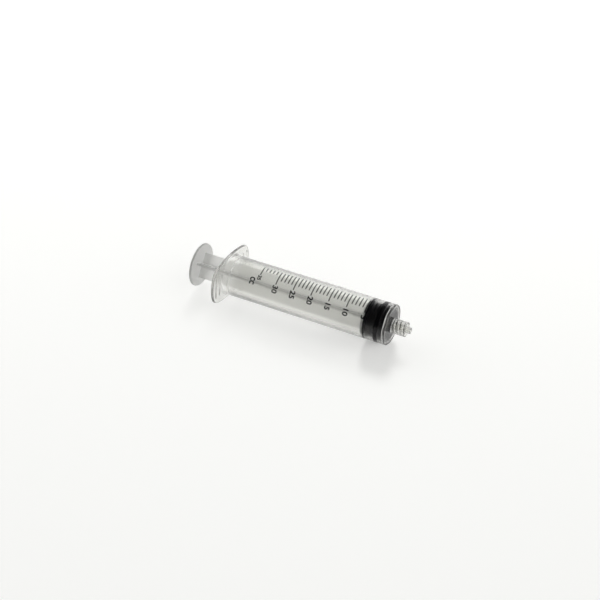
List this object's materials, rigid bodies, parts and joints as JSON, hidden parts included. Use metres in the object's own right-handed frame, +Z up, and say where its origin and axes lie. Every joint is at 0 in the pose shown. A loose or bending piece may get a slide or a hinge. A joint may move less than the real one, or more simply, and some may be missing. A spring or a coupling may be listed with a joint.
{
  "type": "luer lock syringe",
  "caption": "Clear plastic syringe with a locking nozzle, black rubber stopper and ribbed plunger, for drawing up and pushing out liquid.",
  "frame": {"origin": "on the syringe's axis, in the outside face of the barrel's front wall, where the nozzle leaves it", "axes": "+X along the axis towards the nozzle, Y along the finger flange's long way, +Z up as the syringe lies on its flange"},
  "size_m": [0.1443, 0.0464, 0.0288],
  "materials": {
    "clear_plastic": "clear, moulded",
    "natural_plastic": "milky, moulded",
    "black_rubber": "smooth, lightly oiled",
    "black_ink": "printed"
  },
  "bodies": {
    "barrel": {"barrel": "clear_plastic", "millilitre_marks": "black_ink", "ounce_marks": "black_ink"},
    "stopper": {"stopper": "black_rubber"},
    "plunger": {"plunger": "natural_plastic"}
  },
  "joints": [
    {"name": "plunger_slide", "type": "slide", "parent": "barrel", "child": "stopper", "axis": [-1, 0, 0], "range_m": [0, 0.09]},
    {"name": "plunger_twist", "type": "hinge", "parent": "stopper", "child": "plunger", "pos_m": [-0.0132, 0, 0], "axis": [1, 0, 0], "continuous": true}
  ]
}
